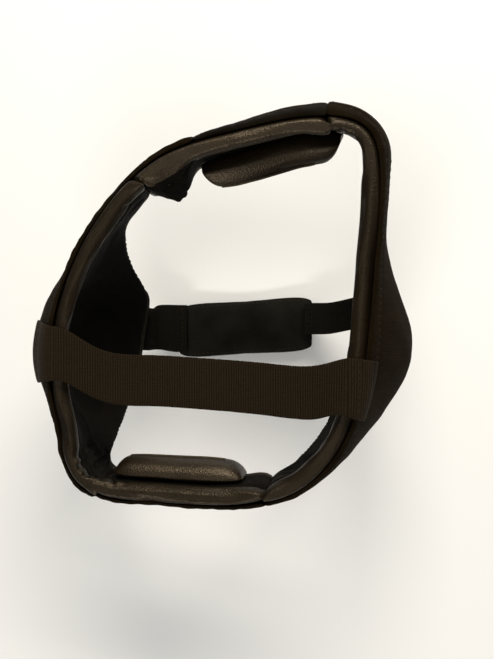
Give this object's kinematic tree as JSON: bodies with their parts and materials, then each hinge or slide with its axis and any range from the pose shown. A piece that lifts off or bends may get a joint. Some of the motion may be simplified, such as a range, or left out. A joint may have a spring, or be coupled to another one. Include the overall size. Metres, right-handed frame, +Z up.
{
  "type": "soft wrestling ear guard",
  "caption": "Soft padded wrestling headgear with domed ear pads, forehead and neck pads, an elastic crown strap and a chin strap with a padded chin rest.",
  "frame": {"origin": "middle of the crown strap's underside, where the crown of a head carries it", "axes": "+Z up when worn, the front faces -Y, the wearer's left is +X"},
  "size_m": [0.2202, 0.2125, 0.1478],
  "materials": {
    "knit": "matt stretch knit",
    "lining": "soft synthetic leather, slight sheen",
    "panel": "smooth satin fabric",
    "elastic": "cross ribbed elastic webbing",
    "chin_fabric": "smooth brushed fabric"
  },
  "bodies": {
    "root": {"left_lining": "lining", "left_cover": "knit", "right_lining": "lining", "right_cover": "knit", "front_lining": "lining", "front_panel": "panel", "rear_lining": "lining", "rear_cover": "knit", "forehead_pad": "lining", "neck_pad": "lining", "crown_strap": "elastic", "chin_pad": "chin_fabric", "chin_strap_left": "elastic", "chin_strap_right": "elastic"}
  },
  "joints": []
}
